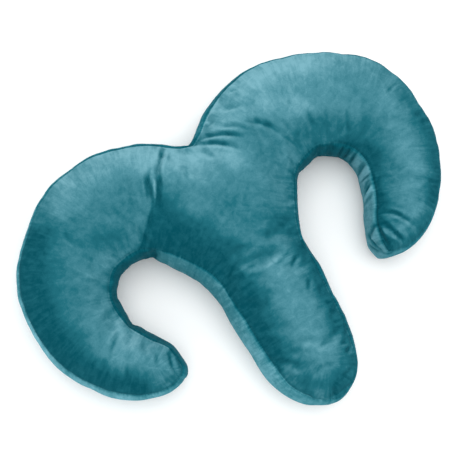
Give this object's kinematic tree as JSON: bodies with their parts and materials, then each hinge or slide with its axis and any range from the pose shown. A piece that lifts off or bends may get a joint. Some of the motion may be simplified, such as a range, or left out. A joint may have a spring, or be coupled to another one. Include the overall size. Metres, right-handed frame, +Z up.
{
  "type": "positioning pillow",
  "caption": "Boxed velvet positioning pillow with two curved arms and a straight leg between them, filled and sewn shut, lying flat on its back.",
  "frame": {"origin": "the middle of the pillow's outline, on the surface that it lies on", "axes": "+X towards the right arm, +Y towards the notch between the arms, +Z up out of the top panel; the leg points to -Y"},
  "size_m": [1.0846, 0.799, 0.1992],
  "materials": {
    "velvet": "teal short-pile velvet, matt, with a soft sheen at the edges"
  },
  "bodies": {
    "root": {"pillow": "velvet"}
  },
  "joints": []
}
